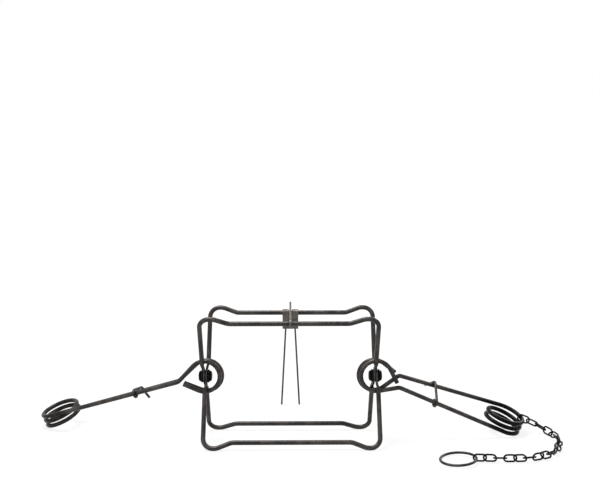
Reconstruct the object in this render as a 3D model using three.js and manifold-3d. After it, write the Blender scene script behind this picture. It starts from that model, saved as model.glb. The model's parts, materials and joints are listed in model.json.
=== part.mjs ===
// A body grip trap: two wire jaws pivoted on each other at mid height, a torsion spring on each side
// whose two eyes sit between the crossing jaws, a trigger and dog on the top bars, a safety hook on
// each spring, and an anchor chain with its ring.
// Millimetres. +X runs along the pivot axis to the right, +Y to the back, +Z up, floor at Z = 0.
import * as THREE from "three";
import { mergeVertices } from "three/addons/utils/BufferGeometryUtils.js";
import Module from "manifold-3d";

const wasm = await Module();
wasm.setup();

// Driving dimensions of the jaws.
const jawWidth = 245.6; // between a jaw's two pivots
const sideJog = 2; // how far a jaw's side bars stand outside its pivots in front, and inside them behind
const barSpan = 190; // between the centre lines of a jaw's straight top and bottom bars
const shoulderRise = 8; // how far the corners stand beyond the straight bars
const shoulderFlat = 19; // from the side bar to where the shoulder starts down
const shoulderRun = 40; // from the side bar to where the straight bar begins
const cornerRadius = 14;
const shoulderRadius = 20;
const jawWire = 6.8; // diameter
const setAngle = THREE.MathUtils.degToRad(27); // how far each jaw leans from upright when set
const bladeLength = 40; // flattened stretch of a side bar at the pivot
const bladeThickness = 3.2;
const bladeWidth = 8.4;
const eyeRadius = 9.5;

// Pivot rivets and washers.
const rivetRadius = 3.5;
const rivetHeadRadius = 7.6;
const rivetHeadHeight = 3.4;
const washerRadius = 9.4;
const washerThickness = 2.4;
const seatGap = 0.3; // between pieces that touch
const pinGap = 0.3; // around a pin or a wire in its eye

// Springs.
const springWire = 6.3; // diameter
const springEyeRadius = 22.3; // of the eye's centre line
const eyeGap = 0.75; // between the two eyes of one spring
const eyeSpread = 1.5; // of each eye out or in along the pivot axis
const coilRadius = 26; // of the coil's centre line
const coilPitch = 8.2;
const coilTurns = 2.5;
const endGap = 0.9; // between a cut wire end and the arm beside it
const leftCoilReach = 228; // from the pivot, outwards
const leftCoilBack = 71;
const leftCoilHeight = 20; // of the coil's centre above the floor
const leftCoilTilt = THREE.MathUtils.degToRad(14); // of the coil towards the front
const rightCoilReach = 195.5;
const rightCoilBack = 29;
const rightCoilHeight = 21.4;
const rightCoilTilt = THREE.MathUtils.degToRad(10);
const chainWedge = 1.4; // how far the chain's first link lifts the strand it hangs on
// Where each arm leaves its eye: out from the pivot, and down from it.
const leftNeckReach = 39;
const leftNeckDrop = 8;
const rightNeckReach = 35;
const rightRearNeckDrop = 1;
const rightFrontNeckDrop = 17;

// Safety hooks.
const hookWire = 3.8; // diameter
const hookTip = 13; // how far the cut end hangs below the arm
const hookSlant = 7; // of the cut end towards the neck
const hookPlaceShare = 0.33; // of the arm's length, from the neck
const hookEyeTurn = THREE.MathUtils.degToRad(265);

// Trigger and dog.
const triggerWidth = 23.5;
const triggerDrop = 24; // of the folded plate below the bar's centre line
const triggerSheet = 1.5;
const triggerSlot = 5;
const pinchDrop = 9; // where the two flaps of the plate come together
const prongWire = 2.6; // diameter
const prongRoom = 50; // what the plate and the prongs leave of the bars' span
const prongInset = 8; // of each prong inside the plate
const prongSpacing = 14;
const prongSplay = 12.5; // how much wider the prongs stand at their tips, in all
const dogThickness = 3;
const dogHeight = 5;
const dogEyeWall = 2.2;
const dogLift = 0.5; // clear of the rear bar
const dogTailReach = 17; // behind the rear bar
const dogTailRise = 9;

// Anchor chain and ring.
const linkWire = 2.7; // diameter
const linkLength = 19.7; // outside
const linkWidth = 12.4; // outside
const linkClearance = 0.8; // the slack at each joint of the chain
const chainSlope = THREE.MathUtils.degToRad(19); // of the links that hang down from the coil
const landing = 1.5; // steps of a link in which the chain would reach the floor at its slope near it
const chainRollStart = THREE.MathUtils.degToRad(80);
const chainRollStep = THREE.MathUtils.degToRad(-60);
// Compass heading of each link, in degrees: 0 runs along +X and 90 along +Y.
const headingTurns = [
  -8, -25.5, -43, -61, -79, -94, -103, -109, -116, -125, -136, -148, -159, -168, -176, -181, -184, -184, -184,
];
const ringWire = 3.6;
const ringOuter = 52; // outside diameter
const ringLean = THREE.MathUtils.degToRad(4.7);

// Finishes.
const darkSteel = { color: 0x2e2a27, roughness: 0.5, metalness: 0.75 };
const springSteel = { color: 0x332d28, roughness: 0.48, metalness: 0.75 };
const paleSteel = { color: 0x8d857e, roughness: 0.42, metalness: 0.85 };
const chainSteel = { color: 0x38322d, roughness: 0.5, metalness: 0.7 };

// Counts of facets.
const barSides = 10;
const springSides = 8;
const linkSides = 6;
const arcSteps = 5;
const turnSteps = 20;
const linkEndSteps = 5;
const roundSides = 24;
const ringSteps = 40;
const halfTurn = Math.PI;
const fullTurn = 2 * Math.PI;

// Values that follow from those above.
const bladeShift = (bladeThickness + seatGap) / 2;
const jawHalf = jawWidth / 2;
const barHalf = barSpan / 2;
const cornerHeight = barHalf + shoulderRise;
const pivotHeight = cornerHeight * Math.cos(setAngle) + jawWire / 2;
const eyeShift = (springWire + eyeGap) / 2;
const hookRadius = springWire / 2 + pinGap + hookWire / 2;
const topBarRise = barHalf * Math.cos(setAngle);
const topBarBack = barHalf * Math.sin(setAngle);

const vec = (x, y, z) => new THREE.Vector3(x, y, z);
const up = vec(0, 0, 1);

// A path that passes through chosen points, one step of the extrusion to each.
class WirePath extends THREE.Curve {
  constructor(points) {
    super();
    this.points = points;
  }
  getPoint(t, target = vec(0, 0, 0)) {
    const along = t * (this.points.length - 1);
    const first = Math.min(Math.floor(along), this.points.length - 2);
    return target.lerpVectors(this.points[first], this.points[first + 1], along - first);
  }
  getPointAt(t, target) {
    return this.getPoint(t, target);
  }
  getTangentAt(t, target = vec(0, 0, 0)) {
    const here = Math.round(t * (this.points.length - 1));
    const before = this.points[Math.max(here - 1, 0)];
    const after = this.points[Math.min(here + 1, this.points.length - 1)];
    return target.subVectors(after, before).normalize();
  }
}

function polygon(radius, sides) {
  const shape = new THREE.Shape();
  for (let i = 0; i < sides; i++) {
    const a = ((i + 0.5) * fullTurn) / sides;
    if (i === 0) shape.moveTo(radius * Math.cos(a), radius * Math.sin(a));
    else shape.lineTo(radius * Math.cos(a), radius * Math.sin(a));
  }
  return shape;
}

function wire(points, diameter, sides) {
  const settings = { steps: points.length - 1, extrudePath: new WirePath(points) };
  return new THREE.ExtrudeGeometry(polygon(diameter / 2, sides), settings);
}

// The corner points with each inner one rounded by an arc of its own radius.
function rounded(corners, steps = arcSteps) {
  const out = [corners[0].at];
  for (let i = 1; i < corners.length - 1; i++) {
    const { at, radius } = corners[i];
    const back = corners[i - 1].at.clone().sub(at).normalize();
    const ahead = corners[i + 1].at.clone().sub(at).normalize();
    const half = back.angleTo(ahead) / 2;
    const middle = back.clone().add(ahead).normalize();
    const centre = at.clone().addScaledVector(middle, radius / Math.sin(half));
    const from = at.clone().addScaledVector(back, radius / Math.tan(half)).sub(centre);
    const axis = back.clone().cross(ahead).normalize();
    const turn = -(halfTurn - 2 * half);
    for (let k = 0; k <= steps; k++) {
      out.push(from.clone().applyAxisAngle(axis, (turn * k) / steps).add(centre));
    }
  }
  out.push(corners[corners.length - 1].at);
  return out;
}

// Solids for joining and cutting.
function solid(geometry) {
  const bare = geometry.index ? geometry.toNonIndexed() : geometry.clone();
  bare.deleteAttribute("normal");
  bare.deleteAttribute("uv");
  const merged = mergeVertices(bare, 1e-4);
  return new wasm.Manifold(
    new wasm.Mesh({
      numProp: 3,
      vertProperties: merged.attributes.position.array,
      triVerts: new Uint32Array(merged.index.array),
    }),
  );
}

function geometryOf(body) {
  const mesh = body.getMesh();
  const geometry = new THREE.BufferGeometry();
  geometry.setAttribute("position", new THREE.BufferAttribute(mesh.vertProperties, mesh.numProp));
  geometry.setIndex(new THREE.BufferAttribute(mesh.triVerts, 1));
  return geometry;
}

function join(parts) {
  return parts.map(solid).reduce((a, b) => a.add(b));
}

// A round bar along X, centred on the point.
function roundAlongX(radius, length, x = 0, sides = roundSides) {
  return new THREE.CylinderGeometry(radius, radius, length, sides).rotateZ(halfTurn / 2).translate(x, 0, 0);
}

const trap = new THREE.Group();

function add(name, geometry, finish, parent = trap) {
  const mesh = new THREE.Mesh(geometry, new THREE.MeshStandardMaterial(finish));
  mesh.name = name;
  parent.add(mesh);
  return mesh;
}

// Jaws. Half of one jaw is a wire from one blade, round both shoulders, to the other. The upper half
// of a jaw as it is made is the wider one; the other jaw is the same piece turned upside down.
function jawHalfWire(side) {
  const corner = (x, z, radius) => ({ at: vec(x, 0, side * z), radius });
  const half = jawHalf + side * sideJog;
  return wire(
    rounded([
      corner(-half, bladeLength / 2 - bladeThickness, 0),
      corner(-half, cornerHeight, cornerRadius),
      corner(-half + shoulderFlat, cornerHeight, shoulderRadius),
      corner(-half + shoulderRun, barHalf, shoulderRadius),
      corner(half - shoulderRun, barHalf, shoulderRadius),
      corner(half - shoulderFlat, cornerHeight, shoulderRadius),
      corner(half, cornerHeight, cornerRadius),
      corner(half, bladeLength / 2 - bladeThickness, 0),
    ]),
    jawWire,
    barSides,
  );
}

// The side bar where it is hammered flat: round at its ends, thin and wide between them, and bent
// over from the narrow half to the wide one.
function blade(x) {
  const rings = 6;
  const geometry = new THREE.CylinderGeometry(1, 1, bladeLength, roundSides / 2, rings);
  geometry.rotateX(halfTurn / 2);
  const place = geometry.attributes.position;
  const flat = [bladeThickness / 2, bladeWidth / 2];
  const round = [jawWire / 2, jawWire / 2];
  for (let i = 0; i < place.count; i++) {
    const reach = Math.abs(place.getZ(i)) / (bladeLength / 2);
    const [across, along] = reach > 0.9 ? round : flat;
    const beyond = Math.max(Math.abs(place.getZ(i)) - eyeRadius, 0) / (bladeLength / 2 - eyeRadius);
    const jog = Math.sign(x * place.getZ(i)) * sideJog * beyond;
    place.setX(i, place.getX(i) * across + jog);
    place.setY(i, place.getY(i) * along);
  }
  return geometry.translate(x, 0, 0);
}

function jawGeometry() {
  const parts = [jawHalfWire(1), jawHalfWire(-1)];
  for (const x of [-jawHalf, jawHalf]) {
    parts.push(blade(x), roundAlongX(eyeRadius, bladeThickness, x));
  }
  const bore = roundAlongX(rivetRadius + pinGap, jawWidth * 2);
  return geometryOf(join(parts).subtract(solid(bore)));
}

const pivot = new THREE.Group();
pivot.position.z = pivotHeight;
trap.add(pivot);

for (const [name, way] of [
  ["front_top_jaw", 1],
  ["rear_top_jaw", -1],
]) {
  const jaw = add(name, jawGeometry(), darkSteel, pivot);
  jaw.position.x = -way * bladeShift;
  jaw.rotation.set(way * setAngle, way < 0 ? halfTurn : 0, 0);
}

// Pivot rivets, each with a plain and a hammered head, and a washer under each head.
const stackHalf = bladeShift + bladeThickness / 2 + seatGap; // out to the washers
const headSeat = stackHalf + washerThickness + seatGap;

function rivetHead(way) {
  const crown = rivetHeadRadius / 2;
  const profile = [
    new THREE.Vector2(0, 0),
    new THREE.Vector2(rivetHeadRadius, 0),
    new THREE.Vector2(rivetHeadRadius, rivetHeadHeight / 2),
    new THREE.Vector2(crown, rivetHeadHeight),
    new THREE.Vector2(0, rivetHeadHeight),
  ];
  const head = new THREE.LatheGeometry(profile, roundSides).rotateZ(halfTurn / 2);
  if (way > 0) head.rotateY(halfTurn);
  return head.translate(way * headSeat, 0, 0);
}

for (const [side, x] of [
  ["left", -jawHalf],
  ["right", jawHalf],
]) {
  const hub = new THREE.Group();
  hub.position.x = x;
  pivot.add(hub);
  const rivet = join([roundAlongX(rivetRadius, 2 * headSeat + rivetHeadHeight), rivetHead(-1), rivetHead(1)]);
  add(`${side}_pivot_rivet`, geometryOf(rivet), darkSteel, hub);
  for (const [place, way] of [
    ["outer", Math.sign(x)],
    ["inner", -Math.sign(x)],
  ]) {
    const disc = roundAlongX(washerRadius, washerThickness, way * (stackHalf + washerThickness / 2));
    const hole = roundAlongX(rivetRadius + pinGap, 4 * headSeat);
    add(`${side}_${place}_washer`, geometryOf(solid(disc).subtract(solid(hole))), darkSteel, hub);
  }
}

// Springs. The eye is a loop in an upright plane: from the neck, under the pivot, over it and back.
function springEye(hub, outward, shift, { reach, drop }) {
  const spread = Math.sign(shift) * eyeSpread;
  const neck = vec(hub.x + outward * reach, hub.y + shift, hub.z - drop);
  const centre = vec(hub.x - outward * spread, hub.y + shift, hub.z);
  const span = Math.hypot(reach + spread, drop);
  const toNeck = Math.atan2(-drop, reach + spread);
  const open = Math.acos(springEyeRadius / span);
  const points = [neck];
  const start = toNeck - open;
  const sweep = fullTurn - 2 * open;
  for (let i = 0; i <= turnSteps; i++) {
    const a = start - (sweep * i) / turnSteps;
    points.push(vec(outward * Math.cos(a), 0, Math.sin(a)).multiplyScalar(springEyeRadius).add(centre));
  }
  // The cut end stops beside the arm.
  const last = points[points.length - 1];
  const home = neck.clone().sub(last);
  const short = (springWire + endGap) / Math.sin(Math.min(halfTurn - 2 * open, halfTurn / 2));
  points.push(last.clone().addScaledVector(home.clone().normalize(), home.length() - short));
  return { neck, points };
}

// The coil's own axes: in towards the pivot, back across it, and its winding axis. The tilt raises
// the back of the coil.
function coilFrame(hub, coil, tilt) {
  const inward = hub.clone().sub(coil).normalize();
  const level = up.clone().cross(inward).normalize();
  if (level.y < 0) level.negate();
  const upward = up.clone().addScaledVector(inward, -up.dot(inward)).normalize();
  const back = level.clone().multiplyScalar(Math.cos(tilt)).addScaledVector(upward, Math.sin(tilt));
  const axis = upward.multiplyScalar(Math.cos(tilt)).addScaledVector(level, -Math.sin(tilt));
  return { inward, back, axis };
}

// The whole wire of one spring: rear eye, rear arm, coil, front arm, front eye.
function springRoute(hub, outward, coil, tilt, wedge, rearNeck, frontNeck) {
  const { inward, back, axis } = coilFrame(hub, coil, tilt);
  const rear = springEye(hub, outward, eyeShift, rearNeck);
  const front = springEye(hub, outward, -eyeShift, frontNeck);
  const onCoil = (turn) =>
    coil
      .clone()
      .addScaledVector(back, coilRadius * Math.cos(fullTurn * turn))
      .addScaledVector(inward, -coilRadius * Math.sin(fullTurn * turn))
      .addScaledVector(axis, coilPitch * (coilTurns / 2 - turn) * outward)
      .addScaledVector(axis, wedge * Math.max(Math.sin(fullTurn * Math.min(turn, 1)), 0));
  const steps = Math.round(coilTurns * turnSteps);
  const turns = Array.from({ length: steps + 1 }, (_, i) => onCoil((coilTurns * i) / steps));
  return {
    points: [...rear.points.reverse(), ...turns, ...front.points],
    rearArm: [rear.neck, turns[0]],
    frontArm: [front.neck, turns[steps]],
    onCoil,
    axis,
    inward,
  };
}

const neckOf = (reach, drop) => ({ reach, drop });
const springs = {
  left: springRoute(
    vec(-jawHalf, 0, pivotHeight),
    -1,
    vec(-jawHalf - leftCoilReach, leftCoilBack, leftCoilHeight),
    leftCoilTilt,
    0,
    neckOf(leftNeckReach, leftNeckDrop),
    neckOf(leftNeckReach, leftNeckDrop),
  ),
  right: springRoute(
    vec(jawHalf, 0, pivotHeight),
    1,
    vec(jawHalf + rightCoilReach, rightCoilBack, rightCoilHeight),
    rightCoilTilt,
    chainWedge,
    neckOf(rightNeckReach, rightRearNeckDrop),
    neckOf(rightNeckReach, rightFrontNeckDrop),
  ),
};

// A safety hook: an eye round the front arm, a shank across, and a hook over the rear arm.
function hookRoute({ frontArm, rearArm }) {
  const from = frontArm[0].clone().lerp(frontArm[1], hookPlaceShare);
  const to = rearArm[0].clone().lerp(rearArm[1], hookPlaceShare);
  const along = frontArm[1].clone().sub(frontArm[0]).add(rearArm[1]).sub(rearArm[0]).normalize();
  const over = to.clone().sub(from);
  const reach = over.length();
  over.normalize();
  const lift = along.clone().cross(over).normalize();
  if (lift.z < 0) lift.negate();
  const at = (x, y) => from.clone().addScaledVector(over, x).addScaledVector(lift, y);
  const arc = (x, start, turn, steps) =>
    Array.from({ length: steps + 1 }, (_, i) => {
      const a = start + (turn * i) / steps;
      return at(x + hookRadius * Math.cos(a), hookRadius * Math.sin(a));
    });
  return [
    ...arc(0, halfTurn / 2 + hookEyeTurn, -hookEyeTurn, turnSteps - arcSteps),
    ...arc(reach, halfTurn / 2, -halfTurn / 2, arcSteps),
    at(reach + hookRadius, -hookTip).addScaledVector(along, -hookSlant),
  ];
}

// The least gap between a wire and itself, between points more than a third of a turn apart.
function leastGap(points, diameter, apart = Math.round(turnSteps / 3)) {
  let least = Infinity;
  for (let i = 0; i < points.length; i++) {
    for (let k = i + apart; k < points.length - 1; k++) {
      const near = vec(0, 0, 0);
      new THREE.Line3(points[k], points[k + 1]).closestPointToPoint(points[i], true, near);
      least = Math.min(least, near.distanceTo(points[i]));
    }
  }
  return least - diameter;
}

for (const side of ["left", "right"]) {
  const gap = leastGap(springs[side].points, springWire);
  console.log(`${side} spring: the least gap of the wire to itself is ${gap.toFixed(2)} mm`);
  add(`${side}_spring`, wire(springs[side].points, springWire, springSides), springSteel);
  add(`${side}_safety_hook`, wire(hookRoute(springs[side]), hookWire, springSides), darkSteel);
}

// A flat outline in the plane of Y and Z, given its thickness along X and centred there.
const sideways = new THREE.Matrix4().makeBasis(vec(0, 1, 0), vec(0, 0, 1), vec(1, 0, 0));

function plate(outline, thickness) {
  const settings = { depth: thickness, bevelEnabled: false, curveSegments: arcSteps * 2 };
  return new THREE.ExtrudeGeometry(outline, settings).translate(0, 0, -thickness / 2).applyMatrix4(sideways);
}

// The trigger: sheet folded over the rear top bar, its two flaps pinched on the prongs.
const prongLength = barSpan - triggerDrop - prongRoom; // below the plate
const trigger = new THREE.Group();
trigger.position.set(0, topBarBack, pivotHeight + topBarRise);
trap.add(trigger);

const foldInner = jawWire / 2 + pinGap;
const foldOuter = foldInner + triggerSheet;
const flapInner = prongWire / 2 + seatGap;
const flapOuter = flapInner + triggerSheet;
const foldEnd = THREE.MathUtils.degToRad(-20); // where the round fold gives way to the flaps

function triggerOutline() {
  const shape = new THREE.Shape();
  shape.moveTo(flapOuter, -triggerDrop);
  shape.lineTo(flapOuter, -pinchDrop);
  shape.absarc(0, 0, foldOuter, foldEnd, halfTurn - foldEnd, false);
  shape.lineTo(-flapOuter, -pinchDrop);
  shape.lineTo(-flapOuter, -triggerDrop);
  shape.lineTo(-flapInner, -triggerDrop);
  shape.lineTo(-flapInner, -pinchDrop);
  shape.absarc(0, 0, foldInner, halfTurn - foldEnd, foldEnd, true);
  shape.lineTo(flapInner, -pinchDrop);
  shape.lineTo(flapInner, -triggerDrop);
  return shape;
}

const slot = new THREE.BoxGeometry(triggerSlot, 4 * foldOuter, 2 * foldOuter).translate(0, 0, foldOuter - jawWire / 2);
const folded = solid(plate(triggerOutline(), triggerWidth)).subtract(solid(slot));
add("trigger_plate", geometryOf(folded), paleSteel, trigger);

for (const [name, way] of [
  ["left_prong", -1],
  ["right_prong", 1],
]) {
  const top = (way * prongSpacing) / 2;
  const tip = top + (way * prongSplay) / 2;
  const route = [
    vec(top, 0, -triggerDrop + prongInset),
    vec(top, 0, -triggerDrop),
    vec(tip, 0, -triggerDrop - prongLength),
  ];
  add(name, wire(route, prongWire, springSides), paleSteel, trigger);
}

// The dog: an eye round the front top bar and a blade that lies over the rear one, in the slot.
const dog = new THREE.Group();
dog.position.set(0, -topBarBack, pivotHeight + topBarRise);
trap.add(dog);

const dogEye = jawWire / 2 + pinGap + dogEyeWall;
const dogUnder = jawWire / 2 + dogLift;
const dogTop = dogUnder + dogHeight;
const barGap = 2 * topBarBack;

function dogOutline() {
  const shape = new THREE.Shape();
  shape.moveTo(0, jawWire / 2 + pinGap);
  shape.lineTo(dogEye, jawWire / 2);
  shape.lineTo(barGap / 2, dogUnder);
  shape.lineTo(barGap + dogHeight, dogUnder);
  shape.lineTo(barGap + dogTailReach, dogUnder + dogTailRise);
  shape.lineTo(barGap + dogTailReach - dogHeight / 2, dogUnder + dogTailRise + dogHeight / 4);
  shape.lineTo(barGap, dogTop);
  shape.lineTo(barGap / 2, dogTop);
  shape.lineTo(0, dogEye);
  return shape;
}

const dogBody = join([plate(dogOutline(), dogThickness), roundAlongX(dogEye, dogThickness)]);
const dogBore = roundAlongX(jawWire / 2 + pinGap, 2 * dogThickness);
add("dog", geometryOf(dogBody.subtract(solid(dogBore))), paleSteel, dog);

// The anchor chain. A link is a ring pulled out into two straight sides.
function linkGeometry() {
  const bend = (linkWidth - linkWire) / 2;
  const segments = 4 * linkEndSteps;
  const geometry = new THREE.TorusGeometry(bend, linkWire / 2, linkSides, segments);
  geometry.rotateZ(halfTurn / segments);
  const place = geometry.attributes.position;
  const stretch = (linkLength - linkWidth) / 2;
  for (let i = 0; i < place.count; i++) {
    place.setX(i, place.getX(i) + Math.sign(place.getX(i)) * stretch);
  }
  return geometry;
}

// Each link runs on from the one before, first down from the coil's top strand to the floor.
const linkStep = linkLength - 2 * linkWire - linkClearance;
const linkRest = linkWidth / 2;
const strand = springs.right.onCoil(1 / 4);

function chainRoute() {
  const links = [];
  let joint;
  headingTurns.forEach((heading, i) => {
    const height = joint ? joint.z : strand.z;
    const fall = Math.min(Math.sin(chainSlope), (height - linkRest) / (landing * linkStep));
    const turn = THREE.MathUtils.degToRad(heading);
    const level = Math.sqrt(1 - fall * fall);
    const along = vec(Math.cos(turn) * level, Math.sin(turn) * level, -fall);
    if (!joint) joint = strand.clone().addScaledVector(along, -(springWire + linkClearance) / 2);
    links.push({ start: joint.clone(), along, roll: chainRollStart + chainRollStep * i });
    joint = joint.clone().addScaledVector(along, linkStep);
  });
  return { links, end: joint };
}

function lay(mesh, along, roll) {
  const across = up.clone().cross(along).normalize();
  const basis = new THREE.Matrix4().makeBasis(along, across, along.clone().cross(across));
  mesh.quaternion.setFromRotationMatrix(basis).multiply(new THREE.Quaternion().setFromAxisAngle(vec(1, 0, 0), roll));
}

const chain = chainRoute();
chain.links.forEach(({ start, along, roll }, i) => {
  const link = add(`chain_link_${String(i + 1).padStart(2, "0")}`, linkGeometry(), chainSteel);
  lay(link, along, roll);
  link.position.copy(start).addScaledVector(along, linkStep / 2);
});

// The anchor ring lies on the floor and leans on the last link.
const lastAlong = chain.links[chain.links.length - 1].along;
const ringRadius = (ringOuter - ringWire) / 2;
const ring = add("anchor_ring", new THREE.TorusGeometry(ringRadius, ringWire / 2, springSides, ringSteps), chainSteel);
const ringReach = ringRadius - (ringWire + linkClearance) / 2;
ring.rotation.y = -ringLean;
ring.position.copy(chain.end).addScaledVector(lastAlong, ringReach);
ring.position.z = ringWire / 2 + ringRadius * Math.sin(ringLean);

// The part stands with the middle of its box at the origin, its lowest point on the floor.
const box = new THREE.Box3().setFromObject(trap, true);
const middle = box.getCenter(vec(0, 0, 0));
trap.position.set(-middle.x, -middle.y, -box.min.z);

export default trap;
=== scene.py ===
"""A set body grip trap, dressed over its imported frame: smooth wires for the faceted ones, and steel
finishes for every piece. Lengths are written in millimetres and become metres where a mesh is made."""

import json
import math

import bmesh
import bpy
import numpy as np
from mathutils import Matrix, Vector


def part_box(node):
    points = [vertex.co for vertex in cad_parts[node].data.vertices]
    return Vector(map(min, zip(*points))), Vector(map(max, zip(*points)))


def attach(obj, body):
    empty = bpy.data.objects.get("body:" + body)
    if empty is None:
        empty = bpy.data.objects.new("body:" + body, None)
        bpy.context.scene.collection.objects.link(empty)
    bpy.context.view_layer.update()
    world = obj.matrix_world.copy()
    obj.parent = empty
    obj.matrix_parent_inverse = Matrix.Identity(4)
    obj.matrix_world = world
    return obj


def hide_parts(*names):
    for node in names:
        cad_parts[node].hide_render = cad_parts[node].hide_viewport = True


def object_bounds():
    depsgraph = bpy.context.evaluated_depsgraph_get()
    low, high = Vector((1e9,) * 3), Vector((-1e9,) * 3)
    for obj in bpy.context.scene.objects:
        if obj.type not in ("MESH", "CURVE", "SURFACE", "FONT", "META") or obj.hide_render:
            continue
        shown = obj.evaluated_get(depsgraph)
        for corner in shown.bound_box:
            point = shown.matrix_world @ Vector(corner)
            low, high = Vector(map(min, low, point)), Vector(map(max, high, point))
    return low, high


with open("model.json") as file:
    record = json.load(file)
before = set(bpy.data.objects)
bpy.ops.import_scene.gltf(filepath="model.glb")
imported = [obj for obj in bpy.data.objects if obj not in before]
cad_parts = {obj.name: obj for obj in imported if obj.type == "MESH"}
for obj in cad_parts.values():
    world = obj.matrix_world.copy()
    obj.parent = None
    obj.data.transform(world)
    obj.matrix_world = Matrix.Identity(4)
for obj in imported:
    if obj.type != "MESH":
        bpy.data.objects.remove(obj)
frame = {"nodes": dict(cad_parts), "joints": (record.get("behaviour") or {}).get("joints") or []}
cad_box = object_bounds()
joints = {joint["name"]: joint for joint in frame["joints"]}
MM = 0.001

# Sizes shared with the part, in millimetres.
JAW_HALF = 122.8
SIDE_JOG = 2.0
BAR_HALF = 95.0
SHOULDER_RISE = 8.0
SHOULDER_FLAT = 19.0
SHOULDER_RUN = 40.0
CORNER_RADIUS = 14
SHOULDER_RADIUS = 20
JAW_WIRE = 6.8
SET_ANGLE = math.radians(27)
BLADE_THICKNESS = 3.2
BLADE_WIDTH = 8.4
BLADE_LENGTH = 40.0
BLADE_NARROWS = 13  # the hammered blade keeps its width to this height from the pivot
BLADE_THICKENS = 17  # and its thickness to this one
BLADE_TAPER = 6
EYE_RADIUS = 9.5
SEAT_GAP = 0.3
SPRING_WIRE = 6.3
SPRING_EYE = 22.3
EYE_GAP = 0.75
EYE_SPREAD = 1.5
COIL_RADIUS = 26.0
COIL_PITCH = 8.2
COIL_TURNS = 2.5
END_GAP = 0.9
HOOK_WIRE = 3.8
HOOK_TIP = 13.0
HOOK_SLANT = 7.0
HOOK_SHARE = 0.33
HOOK_EYE = math.radians(265)
WASHER_RADIUS = 9.4
WASHER_THICKNESS = 2.4
RIVET_HEAD = 7.6
RIVET_RISE = 3.4
RIVET_SHANK = 3.5
LINK_WIRE = 2.7
LINK_LENGTH = 19.7
LINK_WIDTH = 12.4
LINK_EASE = 0.1  # the round wire lies this far inside the solid's six-sided one
RING_WIRE = 3.6
RING_OUTER = 52.0
RING_LEAN = math.radians(4.7)
TRIGGER_DROP = 24.0
PRONG_WIRE = 2.6
PRONG_LENGTH = 116.0
PRONG_INSET = 8.0
PRONG_SPACING = 14.0
PRONG_SPLAY = 12.5

# Where each spring's coil stands from its pivot, how it tilts, the lift of the strand that the chain
# hangs on, and how far out and down each eye's neck is.
SPRINGS = {
    "left": {
        "outward": -1,
        "coil_out": 228,
        "coil_back": 71,
        "coil_height": 20,
        "tilt": math.radians(14),
        "wedge": 0,
        "rear_neck": (39, 8),
        "front_neck": (39, 8),
    },
    "right": {
        "outward": 1,
        "coil_out": 195.5,
        "coil_back": 29,
        "coil_height": 21.4,
        "tilt": math.radians(10),
        "wedge": 1.4,
        "rear_neck": (35, 1),
        "front_neck": (35, 17),
    },
}
# How strongly each coil is painted with shade, the right one darker: painted shade for the shade that falls
# inside the coil's turns.
COIL_PAINTED_SHADE = {"left": 0.5, "right": 0.85}
LINK_ROLL = math.radians(80)
LINK_TURN = math.radians(-60)  # how much each link is rolled from the one before it

# The photograph's camera, from the middle between the pivots, and the studio.
CAMERA_PLACE = np.array([0.5, -1187.3, 309.9])
CAMERA_YAW = math.radians(0.643)
CAMERA_PITCH = math.radians(5.416)
CAMERA_SENSOR = 36
CAMERA_LENS = 50.19
LAMPS = (
    {"name": "overhead", "at": (-0.4, 0.1, 1.9), "size": 0.9, "power": 50},
    {"name": "front_left", "at": (-1.5, -1.6, 0.9), "size": 1.0, "power": 8},
    {"name": "back_right", "at": (1.3, 1.2, 1.2), "size": 0.9, "power": 12},
)
WORLD_LIGHT = 0.6
FLOOR_REACH = 6000
FLOOR_BACK = 9000
FLOOR_GAP = 0.05
FLOOR = cad_box[0][2] / MM


def middle(node):
    """The centre of a node's box, in millimetres."""
    low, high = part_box(node)
    return (np.array(low) + np.array(high)) / 2 / MM


HUB = (middle("left_pivot_rivet") + middle("right_pivot_rivet")) / 2
X = np.array([1.0, 0, 0])
Y = np.array([0, 1.0, 0])
Z = np.array([0, 0, 1.0])


# ---------------------------------------------------------------- shapes worked out as arrays


def smooth(share):
    """0 below 0, 1 above 1, and the cubic 3 s s - 2 s s s between."""
    share = np.clip(share, 0, 1)
    return share * share * (3 - 2 * share)


def unit(v):
    """Vectors divided by their lengths."""
    return v / np.linalg.norm(v, axis=-1, keepdims=True)


def evened(points, step, closed=False):
    """The same line cut into equal steps along its length."""
    points = np.asarray(points, float)
    if closed:
        points = np.vstack([points, points[:1]])
    reach = np.r_[0, np.cumsum(np.linalg.norm(np.diff(points, axis=0), axis=1))]
    count = max(int(round(reach[-1] / step)), 8)
    at = np.linspace(0, reach[-1], count + 1)
    if closed:
        at = at[:-1]
    return np.stack([np.interp(at, reach, points[:, k]) for k in range(3)], axis=1)


def bent(points, bend, step):
    """A wire's centre line: the corners of the line are spread over a bend of that length, as the
    weighted mean of the points around each, with a raised cosine as the weight."""
    line = evened(points, step)
    reach = max(int(bend / step / 2), 1)
    weight = 1 + np.cos(np.linspace(-math.pi, math.pi, 2 * reach + 3)[1:-1])
    weight /= weight.sum()
    before = 2 * line[0] - line[reach:0:-1]
    after = 2 * line[-1] - line[-2 : -reach - 2 : -1]
    padded = np.vstack([before, line, after])
    return np.stack([np.convolve(padded[:, k], weight, "valid") for k in range(3)], axis=1)


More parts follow.
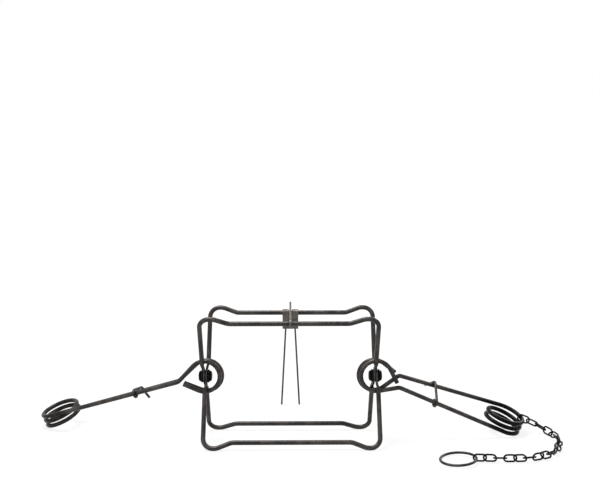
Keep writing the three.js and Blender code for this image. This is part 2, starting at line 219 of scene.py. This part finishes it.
def swept(line, facing, half_across, half_along, sides, square=2.0, closed=False):
    """A closed oval carried along a line. At each point the oval's two half widths lie across the
    line and along the facing direction; square is the power of the oval: 2 is round, 4 nearly flat.
    Returns the points and the quads, with a fan at each open end."""
    count = len(line)
    if closed:
        ahead = np.roll(line, -1, 0) - np.roll(line, 1, 0)
    else:
        ahead = np.gradient(line, axis=0)
    ahead = unit(ahead)
    facing = np.broadcast_to(facing, line.shape)
    up = unit(facing - (facing * ahead).sum(1, keepdims=True) * ahead)
    across = np.cross(up, ahead)
    turn = np.arange(sides) * 2 * math.pi / sides
    c, s = np.cos(turn), np.sin(turn)
    power = 2 / np.broadcast_to(square, (count,))[:, None]
    a = np.broadcast_to(half_across, (count,))[:, None] * np.sign(c) * np.abs(c) ** power
    b = np.broadcast_to(half_along, (count,))[:, None] * np.sign(s) * np.abs(s) ** power
    points = line[:, None] + a[..., None] * across[:, None] + b[..., None] * up[:, None]
    ring = np.arange(count if closed else count - 1)[:, None] * sides
    here = np.arange(sides)[None]
    there = (here + 1) % sides
    after = (ring + sides) % (count * sides)
    quads = np.stack([ring + here, after + here, after + there, ring + there], -1).reshape(-1, 4)
    points = points.reshape(-1, 3)
    if closed:
        return points, quads, np.zeros((0, 3), int)
    ends = np.array([line[0], line[-1]])
    first, last = count * sides, count * sides + 1
    begin = np.stack([np.full(sides, first), here[0], there[0]], -1)
    tail = (count - 1) * sides
    finish = np.stack([np.full(sides, last), tail + there[0], tail + here[0]], -1)
    return np.vstack([points, ends]), quads, np.vstack([begin, finish])


def rounded_ends(line, radius, edge=0.5):
    """Half widths of a wire whose cut ends are rounded over by a quarter circle of that edge."""
    step = np.linalg.norm(np.diff(line, axis=0), axis=1).mean()
    reach = np.arange(len(line)) * step
    near = np.minimum(reach, reach[::-1])
    inside = np.clip(near / edge, 0, 1)
    return radius - edge * (1 - np.sqrt(np.clip(1 - (1 - inside) ** 2, 0, 1)))


def with_close_ends(line, edge=0.6):
    """The line with three closer points at each end, where the wire is rounded over."""
    extra = np.array([0.08, 0.3, 0.62])[:, None] * edge
    first = line[0] + unit(line[1] - line[0]) * extra
    last = line[-1] + unit(line[-2] - line[-1]) * extra[::-1]
    return np.vstack([line[:1], first, line[1:-1], last, line[-1:]])


def spun(profile, centre, axis, sides=48):
    """A profile of (distance along the axis, radius) turned about the axis; closed at both poles or
    back on itself."""
    profile = np.asarray(profile, float)
    side = unit(np.cross(axis, Z if abs(axis[2]) < 0.9 else X))
    other = np.cross(axis, side)
    turn = np.arange(sides) * 2 * math.pi / sides
    around = np.cos(turn)[:, None] * side + np.sin(turn)[:, None] * other
    points = centre + profile[:, 0, None, None] * axis + profile[:, 1, None, None] * around
    count = len(profile)
    ring = np.arange(count)[:, None] * sides
    after = (ring + sides) % (count * sides)
    here = np.arange(sides)[None]
    there = (here + 1) % sides
    quads = np.stack([ring + here, ring + there, after + there, after + here], -1).reshape(-1, 4)
    return points.reshape(-1, 3), quads, np.zeros((0, 3), int)


def placed(name, data):
    """An object of that data in the scene."""
    made = bpy.data.objects.new(name, data)
    bpy.context.scene.collection.objects.link(made)
    return made


def dressed(name, mesh, material, body, node):
    """A smooth shaded piece that rides on its body in place of its CAD node."""
    mesh.polygons.foreach_set("use_smooth", np.full(len(mesh.polygons), True))
    mesh.materials.append(material)
    made = placed(name, mesh)
    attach(made, body)
    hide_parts(node)
    return made


def piece(name, shape, material, body, node):
    """A dressed piece from points and faces in millimetres."""
    points, quads, triangles = shape
    mesh = bpy.data.meshes.new(name)
    mesh.from_pydata((points * MM).tolist(), [], [*quads.tolist(), *triangles.tolist()])
    mesh.validate()
    mesh.update()
    dressed(name, mesh, material, body, node)


# ---------------------------------------------------------------- materials


class Value:
    """A shader socket that takes + - * with numbers and with other sockets."""

    def __init__(self, shader, socket):
        self.shader, self.socket = shader, socket

    def _math(self, operation, a, b):
        return self.shader.node("ShaderNodeMath", {"operation": operation}, {0: a, 1: b})

    def __add__(self, other):
        return self._math("ADD", self, other)

    def __sub__(self, other):
        return self._math("SUBTRACT", self, other)

    def __rsub__(self, other):
        return self._math("SUBTRACT", other, self)

    def __mul__(self, other):
        return self._math("MULTIPLY", self, other)

    def most(self, other):
        """The greater of the two."""
        return self._math("MAXIMUM", self, other)

    __radd__ = __add__
    __rmul__ = __mul__


class Shader:
    """A node tree, with one method that adds any node."""

    def __init__(self, tree):
        self.tree = tree
        self.tree.nodes.clear()

    def node(self, kind, settings, values, out=0):
        """A node of that kind with its settings, then the values or links of its sockets."""
        made = self.tree.nodes.new(kind)
        for key, value in settings.items():
            setattr(made, key, value)
        for key, value in values.items():
            if isinstance(value, Value):
                self.tree.links.new(value.socket, made.inputs[key])
            else:
                made.inputs[key].default_value = value
        return Value(self, made.outputs[out]) if len(made.outputs) else made

    def seen(self):
        """1 for the rays that see the white background: from the camera, off gloss and through glass."""
        kinds = ("Is Camera Ray", "Is Glossy Ray", "Is Transmission Ray")
        straight, gloss, glass = (self.node("ShaderNodeLightPath", {}, {}, kind) for kind in kinds)
        return straight.most(gloss).most(glass)


class Finish(Shader):
    """A material, with the patterns that the steels are made of."""

    def __init__(self, name):
        self.material = bpy.data.materials.new(name)
        self.material.use_nodes = True
        super().__init__(self.material.node_tree)
        self.place = self.node("ShaderNodeTexCoord", {}, {}, "Object")

    def noise(self, size, detail=3.0, rough=0.55, stretch=None):
        """Cloudy noise whose patches are about that size in millimetres."""
        place = self.place
        if stretch:
            place = self.node("ShaderNodeMapping", {}, {"Vector": place, "Scale": stretch})
        values = {"Vector": place, "Scale": 1 / (size * MM), "Detail": detail, "Roughness": rough}
        return self.node("ShaderNodeTexNoise", {}, values)

    def between(self, value, low, high):
        """0 below low, 1 above high, smooth between."""
        settings = {"interpolation_type": "SMOOTHSTEP", "clamp": True}
        values = {"Value": value, "From Min": low, "From Max": high}
        return self.node("ShaderNodeMapRange", settings, values)

    def mix(self, mask, a, b):
        """Colour a where the mask is 0 and colour b where it is 1."""
        as_colour = lambda c: (*c, 1.0) if isinstance(c, tuple) else c
        values = {0: mask, 6: as_colour(a), 7: as_colour(b)}
        return self.node("ShaderNodeMix", {"data_type": "RGBA"}, values, 2)

    def done(self, colour, roughness, metallic, height, depth):
        """The finished material, its relief that deep in millimetres."""
        bump = self.node("ShaderNodeBump", {}, {"Height": height, "Distance": depth * MM, "Strength": 1.0})
        values = {"Base Color": colour, "Roughness": roughness, "Metallic": metallic, "Normal": bump}
        shader = self.node("ShaderNodeBsdfPrincipled", {}, values)
        self.node("ShaderNodeOutputMaterial", {}, {"Surface": shader})
        return self.material


def shade(code):
    """The linear colour of a screen colour written as six digits."""
    parts = np.array([int(code[i : i + 2], 16) for i in (0, 2, 4)]) / 255
    return tuple(np.where(parts <= 0.04045, parts / 12.92, ((parts + 0.055) / 1.055) ** 2.4).tolist())


# The near black that is painted on the coils as shade.
PAINTED_SHADE_BLACK = "060606"
PIT = "4a433d"
GRAIN_SHADE = "171615"


def browned_steel(name, dark, brown, worn, patch, wear, grain=1.1, metal=0.6, coil=None, painted_shade=0.0):
    """Dark browned wire: patches of brown oxide over near black steel, pale where it has rubbed, and
    a fine drawn grain. Patch and grain are sizes in millimetres. Around a coil's centre, also in
    millimetres, the wire is painted nearly black and made more metallic: painted shade for the shade inside
    the coil's turns."""
    steel = Finish(name)
    cloud = steel.noise(patch, 4, 0.6)
    streak = steel.noise(patch * 0.35, 5, 0.65)
    fine = steel.noise(grain, 3, 0.6)
    speck = steel.noise(grain * 0.32, 2, 0.5)
    oxide = steel.between(cloud * 0.65 + streak * 0.35, 0.42, 0.62)
    rubbed = steel.between(streak * 0.6 + fine * 0.4, wear, wear + 0.1)
    colour = steel.mix(oxide * 0.8, shade(dark), shade(brown))
    colour = steel.mix(rubbed * 0.55, colour, shade(worn))
    colour = steel.mix(speck * fine * 0.5, colour, shade(GRAIN_SHADE))
    metallic = metal - oxide * 0.3
    # Painted shade: within 30 to 48 mm of the coil's centre the wire is darkened to near black and its
    # metallic raised, standing in for the shade that falls inside the coil's turns.
    if coil is not None:
        centre = tuple((coil * MM).tolist())
        apart = steel.node("ShaderNodeVectorMath", {"operation": "DISTANCE"}, {0: steel.place, 1: centre}, 1)
        black = 1 - steel.between(apart, 30 * MM, 48 * MM)
        colour = steel.mix(black * painted_shade, colour, shade(PAINTED_SHADE_BLACK))
        metallic = metallic + (1 - metallic) * black * painted_shade
    roughness = 0.26 + oxide * 0.16 + fine * 0.1 - rubbed * 0.08
    height = fine * 0.5 + speck * 0.3 + oxide * 0.35
    return steel.done(colour, roughness, metallic, height, 0.08)


def bare_steel(name, base, dull, bright):
    """Bare rolled sheet and wire: pale grey with warm dull clouds, fine rolling lines and small pits."""
    steel = Finish(name)
    cloud = steel.noise(9.0, 4, 0.6)
    lines = steel.noise(0.8, 3, 0.6, (1.0, 1.0, 0.12))
    pits = steel.noise(0.55, 2, 0.5)
    dulled = steel.between(cloud, 0.4, 0.66)
    colour = steel.mix(dulled * 0.75, shade(base), shade(dull))
    colour = steel.mix(steel.between(lines, 0.5, 0.75) * 0.45, colour, shade(bright))
    pitted = steel.between(pits, 0.62, 0.72)
    colour = steel.mix(pitted * 0.5, colour, shade(PIT))
    roughness = 0.36 + dulled * 0.16 + lines * 0.1
    return steel.done(colour, roughness, 0.85 - dulled * 0.25, lines * 0.4 - pitted * 0.5, 0.06)


jaw_steel = browned_steel("jaw_steel", dark="201e1d", brown="37302c", worn="7a736d", patch=26, wear=0.6)
hook_steel = browned_steel(
    "hook_steel", dark="201e1d", brown="37302c", worn="726b65", patch=9, wear=0.6, grain=0.8
)
rivet_steel = browned_steel(
    "rivet_steel", dark="090908", brown="161311", worn="45403c", patch=6, wear=0.58, grain=0.7, metal=1.0
)
chain_steel = browned_steel(
    "chain_steel", dark="080807", brown="171412", worn="413d39", patch=7, wear=0.6, grain=0.6, metal=1.0
)
ring_steel = browned_steel(
    "ring_steel", dark="171514", brown="2b2724", worn="5c5853", patch=7, wear=0.58, grain=0.6
)
prong_steel = bare_steel("prong_steel", base="45403c", dull="34302d", bright="68625d")
pale_steel = bare_steel("pale_steel", base="57524e", dull="403b37", bright="827b77")


# ---------------------------------------------------------------- jaws


def jaw_line():
    """One jaw's centre line in its own upright plane, starting at the left eye and running once
    round: up the side bar, over both shoulders and the top bar, down, and back along the bottom."""
    corner = BAR_HALF + SHOULDER_RISE
    xs = [-JAW_HALF, -JAW_HALF, -JAW_HALF + SHOULDER_FLAT, -JAW_HALF + SHOULDER_RUN]
    zs = [0, corner, corner, BAR_HALF]
    top = np.array([*zip(xs, zs), *[(-x, z) for x, z in zip(xs[::-1], zs[::-1])]], float)
    flat = np.vstack([top, -top[1:-1]])
    return np.stack([flat[:, 0], 0 * flat[:, 0], flat[:, 1]], 1)


def arced(points, radii, steps=14):
    """A closed line with each corner replaced by an arc of its radius: from one tangent point to the
    other, turned about the centre that lies on the corner's halving line."""
    points = np.asarray(points, float)
    out = []
    for here, radius in enumerate(radii):
        at, back, ahead = points[here], points[here - 1], points[(here + 1) % len(points)]
        if not radius:
            out.append(at[None])
            continue
        back, ahead = unit(back - at), unit(ahead - at)
        half = math.acos(np.clip(back @ ahead, -1, 1)) / 2
        centre = at + unit(back + ahead) * radius / math.sin(half)
        start = at + back * radius / math.tan(half) - centre
        end = at + ahead * radius / math.tan(half) - centre
        share = np.linspace(0, 1, steps)[:, None]
        angle = math.pi - 2 * half
        arc = (np.sin((1 - share) * angle) * start + np.sin(share * angle) * end) / math.sin(angle)
        out.append(centre + arc)
    return np.vstack(out)


def jaw(way):
    """A round wire hammered flat at both pivots. The wire's half width across the plane runs from
    round to the blade's and swells to the eye's circle; its half thickness runs down to the blade's.
    Its oval's power runs from 2, round, to 5. Each side bar steps outwards or inwards beside the blade
    by the jog."""
    radii = [0, CORNER_RADIUS, *[SHOULDER_RADIUS] * 4, CORNER_RADIUS] * 2
    line = evened(arced(jaw_line(), radii), step=1.0, closed=True)
    height = np.abs(line[:, 2])
    side = np.abs(line[:, 0]) > JAW_HALF - 1
    jog = smooth((height - EYE_RADIUS) / (BLADE_LENGTH / 2 - EYE_RADIUS))
    line[:, 0] += way * SIDE_JOG * jog * np.sign(line[:, 2]) * np.clip(line[:, 0] / 20, -1, 1)
    narrow = np.where(side, 1 - smooth((height - BLADE_NARROWS) / BLADE_TAPER), 0)
    flat = np.where(side, 1 - smooth((height - BLADE_THICKENS) / BLADE_TAPER), 0)
    thin = JAW_WIRE / 2 + (BLADE_THICKNESS - JAW_WIRE) / 2 * flat
    wide = JAW_WIRE / 2 + (BLADE_WIDTH - JAW_WIRE) / 2 * narrow
    eye = np.sqrt(np.clip(EYE_RADIUS**2 - height**2, 0, None))
    wide = np.where(side, np.maximum(wide, eye), wide)
    tilt = way * SET_ANGLE
    lean = np.array([[1, 0, 0], [0, math.cos(tilt), -math.sin(tilt)], [0, math.sin(tilt), math.cos(tilt)]])
    shift = -way * (BLADE_THICKNESS + SEAT_GAP) / 2 * X
    return swept(line @ lean.T + HUB + shift, lean @ Y, thin, wide, 28, 2 + 3 * flat, True)


piece("jaw_with_front_top", jaw(1), jaw_steel, "front_jaw", "front_top_jaw")
piece("jaw_with_rear_top", jaw(-1), jaw_steel, "rear_jaw", "rear_top_jaw")


# ---------------------------------------------------------------- rivets and washers

# From the pivot's middle to a washer's inner face, and to the underside of a rivet head.
STACK = (BLADE_THICKNESS + SEAT_GAP) / 2 + BLADE_THICKNESS / 2 + SEAT_GAP
SEAT = STACK + WASHER_THICKNESS + SEAT_GAP


def rivet(centre):
    """A shank with a domed, hammered head at each end: each head's edge is a short wall, rounded
    over into a shallow dome with a small flat. The dome is a quarter of an oval."""
    turn = np.linspace(0, math.pi / 2, 9)
    wall = RIVET_RISE * 0.3
    flat = RIVET_HEAD * 0.45
    ease = 0.25
    along = SEAT + wall + (RIVET_RISE - wall) * np.sin(turn)
    dome = np.stack([along, flat + (RIVET_HEAD - flat) * np.cos(turn)], 1)
    under = [(SEAT, RIVET_SHANK), (SEAT, RIVET_HEAD - ease), (SEAT + ease, RIVET_HEAD)]
    head = np.vstack([under, dome, [(SEAT + RIVET_RISE, 0.01)]])
    profile = np.vstack([head[::-1] * [-1, 1], head])
    return spun(profile, centre, X)


def washer(centre):
    """A flat ring with its edges eased."""
    half, inner, outer, ease = WASHER_THICKNESS / 2, RIVET_SHANK + SEAT_GAP, WASHER_RADIUS, 0.7
    profile = [
        (-half, inner + ease),
        (-half, outer - ease),
        (-half + ease, outer),
        (half - ease, outer),
        (half, outer - ease),
        (half, inner + ease),
        (half - ease, inner),
        (-half + ease, inner),
    ]
    return spun(profile, centre, X)


for side in SPRINGS:
    node = f"{side}_pivot_rivet"
    piece(f"{side}_rivet", rivet(middle(node)), rivet_steel, "front_jaw", node)
    for place in ("outer", "inner"):
        node = f"{side}_{place}_washer"
        shape = washer(middle(node))
        piece(f"{side}_{place}_rivet_washer", shape, rivet_steel, "front_jaw", node)


# ---------------------------------------------------------------- springs and safety hooks


def eye_line(hub, outward, shift, reach, drop):
    """A spring eye in an upright plane: from the neck, round the pivot, to its cut end. The right
    spring's eyes pass under the pivot first and the left spring's pass over it first."""
    neck = hub + [outward * reach, shift, -drop]
    spread = math.copysign(EYE_SPREAD, shift)
    centre = hub + shift * Y - outward * spread * X
    open_ = math.acos(SPRING_EYE / math.hypot(reach + spread, drop))
    start = math.atan2(-drop, reach + spread) - outward * open_
    turn = start - outward * (2 * math.pi - 2 * open_) * np.linspace(0, 1, 60)
    loop = centre + SPRING_EYE * np.stack([outward * np.cos(turn), 0 * turn, np.sin(turn)], 1)
    home = neck - loop[-1]
    short = (SPRING_WIRE + END_GAP) / math.sin(min(math.pi - 2 * open_, math.pi / 2))
    end = loop[-1] + unit(home) * (np.linalg.norm(home) - short)
    return neck, np.vstack([neck, loop, end])


def spring_lines(outward, coil_out, coil_back, coil_height, tilt, wedge, rear_neck, front_neck):
    """The whole wire of one spring, its two straight arms, its coil's centre and its coil's axis. The
    wire is the rear eye, the rear arm, a helix of two and a half turns about the coil's leaning axis,
    the front arm and the front eye. The wedge lifts the first half turn, by a half sine, where the
    chain hangs on it."""
    hub = HUB + outward * JAW_HALF * X
    coil = hub + [outward * coil_out, coil_back, coil_height + FLOOR - HUB[2]]
    inward = unit(hub - coil)
    level = unit(np.cross(Z, inward))
    level = level * np.sign(level[1])
    upward = unit(Z - (Z @ inward) * inward)
    back = level * math.cos(tilt) + upward * math.sin(tilt)
    axis = upward * math.cos(tilt) - level * math.sin(tilt)
    shift = (SPRING_WIRE + EYE_GAP) / 2
    rear, rear_eye = eye_line(hub, outward, shift, *rear_neck)
    front, front_eye = eye_line(hub, outward, -shift, *front_neck)
    turn = np.linspace(0, COIL_TURNS, 220)[:, None]
    angle = 2 * math.pi * turn
    helix = coil + back * COIL_RADIUS * np.cos(angle) - inward * COIL_RADIUS * np.sin(angle)
    lift = wedge * np.clip(np.sin(2 * math.pi * np.minimum(turn, 1)), 0, 1)
    helix = helix + axis * (COIL_PITCH * (COIL_TURNS / 2 - turn) * outward + lift)
    wire = np.vstack([rear_eye[::-1], helix, front_eye])
    return wire, (rear, helix[0]), (front, helix[-1]), coil, axis


def spring(wire, axis):
    """A round wire along the spring's line. The facing direction goes from across the eye, Y, to
    the coil's axis and back."""
    line = with_close_ends(bent(wire, bend=9.0, step=0.9))
    share = np.linspace(0, 1, len(line))
    inner = np.clip((share - 0.22) / 0.12, 0, 1) * np.clip((0.78 - share) / 0.12, 0, 1)
    facing = unit(Y * (1 - inner[:, None]) + axis * inner[:, None])
    radius = rounded_ends(line, SPRING_WIRE / 2)
    return swept(line, facing, radius, radius, 22)


def hook_shape(rear_arm, front_arm):
    """A safety hook: an open eye round the front arm, a straight shank across both arms, and a
    hook turned down behind the rear arm."""
    start = front_arm[0] + HOOK_SHARE * (front_arm[1] - front_arm[0])
    end = rear_arm[0] + HOOK_SHARE * (rear_arm[1] - rear_arm[0])
    along = unit(front_arm[1] - front_arm[0] + rear_arm[1] - rear_arm[0])
    reach = np.linalg.norm(end - start)
    over = unit(end - start)
    lift = unit(np.cross(along, over))
    if lift[2] < 0:
        lift = -lift
    radius = SPRING_WIRE / 2 + SEAT_GAP + HOOK_WIRE / 2

    def arc(x, first, turn):
        angle = first + turn * np.linspace(0, 1, 30)[:, None]
        return start + over * (x + radius * np.cos(angle)) + lift * radius * np.sin(angle)

    quarter = math.pi / 2
    tip = start + over * (reach + radius) - lift * HOOK_TIP - along * HOOK_SLANT
    points = np.vstack([arc(0, quarter + HOOK_EYE, -HOOK_EYE), arc(reach, quarter, -quarter), tip])
    line = with_close_ends(bent(points, bend=2.0, step=0.6))
    half = rounded_ends(line, HOOK_WIRE / 2)
    return swept(line, np.cross(over, lift), half, half, 20)


for side, places in SPRINGS.items():
    wire, rear_arm, front_arm, coil, axis = spring_lines(**places)
    # Each spring's finish carries painted shade around its coil's centre.
    steel = browned_steel(
        f"{side}_spring_steel",
        dark="242120",
        brown="3b3430",
        worn="77706a",
        patch=20,
        wear=0.6,
        coil=coil,
        painted_shade=COIL_PAINTED_SHADE[side],
    )
    shape = spring(wire, axis)
    piece(f"{side}_torsion_spring", shape, steel, f"{side}_spring_body", f"{side}_spring")
    shape = hook_shape(rear_arm, front_arm)
    piece(f"{side}_hook_wire", shape, hook_steel, f"{side}_hook", f"{side}_safety_hook")


# ---------------------------------------------------------------- trigger, prongs and dog

TRIGGER = np.array(joints["trigger_pivot"]["pos_m"]) / MM


def prong(way):
    """A prong: straight down inside the plate, then bent a little outwards to its rounded tip."""
    top = way * PRONG_SPACING / 2
    tip = top + way * PRONG_SPLAY / 2
    plate_end = -TRIGGER_DROP
    corners = [(top, 0, plate_end + PRONG_INSET), (top, 0, plate_end), (tip, 0, plate_end - PRONG_LENGTH)]
    line = with_close_ends(TRIGGER + bent(corners, bend=6.0, step=1.0))
    half = rounded_ends(line, PRONG_WIRE / 2)
    return swept(line, Y, half, half, 16)


for side, places in SPRINGS.items():
    shape = prong(places["outward"])
    piece(f"{side}_trigger_prong", shape, prong_steel, "trigger", f"{side}_prong")


def eased(name, node, body, edge):
    """A sheet piece with its solid's own faces, its flat facets shaded as one curve and its cut edges
    rounded over."""
    kept = frame["nodes"][node]
    work = bmesh.new()
    work.from_mesh(kept.data)
    bmesh.ops.transform(work, matrix=kept.matrix_world, verts=work.verts)
    bmesh.ops.remove_doubles(work, verts=work.verts, dist=0.001 * MM)
    bmesh.ops.dissolve_limit(work, angle_limit=math.radians(1), verts=work.verts, edges=work.edges)
    mesh = bpy.data.meshes.new(name)
    work.to_mesh(mesh)
    work.free()
    mesh.materials.clear()
    made = dressed(name, mesh, pale_steel, body, node)
    corner = math.radians(40)
    mesh.set_sharp_from_angle(angle=corner)
    bevel = made.modifiers.new("edges", "BEVEL")
    bevel.width, bevel.segments = edge * MM, 2
    bevel.limit_method, bevel.angle_limit = "ANGLE", corner


eased("trigger_fold", "trigger_plate", "trigger", edge=0.3)
eased("dog_blade", "dog", "dog_body", edge=0.4)


# ---------------------------------------------------------------- chain and ring

links = sorted(name for name in frame["nodes"] if name.startswith("chain_link"))
starts = [np.array(joints[f"{name}_joint"]["pos_m"]) / MM for name in links]
starts.append(np.array(joints["ring_joint"]["pos_m"]) / MM)


def link_shape(centre, along, roll):
    """A link: a round wire along two straight sides and two half circles."""
    across = unit(np.cross(Z, along))
    third = np.cross(along, across)
    side = across * math.cos(roll) + third * math.sin(roll)
    bend = (LINK_WIDTH - LINK_WIRE) / 2
    straight = (LINK_LENGTH - LINK_WIDTH) / 2
    turn = np.linspace(-math.pi / 2, math.pi / 2, 15)
    end = np.stack([straight + bend * np.cos(turn), bend * np.sin(turn)], 1)
    flat = np.vstack([end, -end])
    line = centre + flat[:, :1] * along + flat[:, 1:] * side
    radius = LINK_WIRE / 2 - LINK_EASE
    return swept(line, np.cross(along, side), radius, radius, 14, 2.0, True)


for i, name in enumerate(links):
    centre = middle(name)
    along = unit(starts[i + 1] - centre)
    shape = link_shape(centre, along, LINK_ROLL + LINK_TURN * i)
    piece(f"{name}_wire", shape, chain_steel, f"{name}_body", name)


def ring_shape(centre):
    """The anchor ring: a circle of wire that leans on the last link."""
    radius = (RING_OUTER - RING_WIRE) / 2
    turn = np.linspace(0, 2 * math.pi, 120, endpoint=False)[:, None]
    flat = X * math.cos(RING_LEAN) + Z * math.sin(RING_LEAN)
    line = centre + radius * (np.cos(turn) * flat + np.sin(turn) * Y)
    return swept(line, np.cross(flat, Y), RING_WIRE / 2, RING_WIRE / 2, 20, 2.0, True)


piece("ring_wire", ring_shape(middle("anchor_ring")), ring_steel, "ring", "anchor_ring")


# ---------------------------------------------------------------- floor, light and camera


def floor():
    """A wide pale sheet just under the trap, which brightens to white away from it. Its light on the
    trap is a plain pale floor's, and the rays that see it find it near white with a faint shadow."""
    low = FLOOR - FLOOR_GAP
    near, back = -FLOOR_REACH, FLOOR_BACK
    left, right = -FLOOR_REACH, FLOOR_REACH
    corners = np.array([[left, near, low], [right, near, low], [right, back, low], [left, back, low]])
    mesh = bpy.data.meshes.new("floor")
    mesh.from_pydata((corners * MM).tolist(), [], [[0, 1, 2, 3]])
    white = Finish("floor_white")
    plain = white.node("ShaderNodeBsdfDiffuse", {}, {"Color": (0.9, 0.9, 0.9, 1)})
    shadowed = white.node("ShaderNodeBsdfDiffuse", {}, {"Color": (0.11, 0.11, 0.11, 1)})
    reach = white.node("ShaderNodeVectorMath", {"operation": "LENGTH"}, {0: white.place}, 1)
    far = white.between(reach, 0.5, 1.8)
    glow = white.node("ShaderNodeEmission", {}, {"Color": (1, 1, 1, 1), "Strength": 0.85 + far * 0.18})
    bright = white.node("ShaderNodeAddShader", {}, {0: shadowed, 1: glow})
    mixed = white.node("ShaderNodeMixShader", {}, {0: white.seen(), 1: plain, 2: bright})
    white.node("ShaderNodeOutputMaterial", {}, {"Surface": mixed})
    mesh.materials.append(white.material)
    placed("floor", mesh)


def lamp(name, at, size, power):
    """A round soft lamp at that place in metres, aimed at the middle between the pivots."""
    data = bpy.data.lights.new(name, "AREA")
    data.shape, data.size, data.energy = "DISK", size, power
    made = placed(name, data)
    made.location = at
    made.rotation_euler = (Vector(HUB * MM) - Vector(at)).to_track_quat("-Z", "Y").to_euler()


def studio():
    """A white world: soft light on the trap, and full white for the rays that see it."""
    world = bpy.data.worlds.new("studio")
    world.use_nodes = True
    sky = Shader(world.node_tree)
    strength = WORLD_LIGHT + sky.seen() * (1 - WORLD_LIGHT)
    back = sky.node("ShaderNodeBackground", {}, {"Color": (1, 1, 1, 1), "Strength": strength})
    sky.node("ShaderNodeOutputWorld", {}, {"Surface": back})
    return world


def camera():
    """The photograph's camera: its place from the pivots, turned by the yaw and down by the pitch."""
    data = bpy.data.cameras.new("camera")
    data.sensor_width, data.lens = CAMERA_SENSOR, CAMERA_LENS
    made = placed("camera", data)
    made.location = Vector((HUB + CAMERA_PLACE) * MM)
    level = math.cos(CAMERA_PITCH)
    ahead = Vector((math.sin(CAMERA_YAW) * level, math.cos(CAMERA_YAW) * level, -math.sin(CAMERA_PITCH)))
    made.rotation_euler = ahead.to_track_quat("-Z", "Y").to_euler()
    return made


floor()
for places in LAMPS:
    lamp(**places)
bpy.context.scene.world = studio()
bpy.context.scene.view_settings.view_transform = "Standard"
bpy.context.scene.camera = camera()
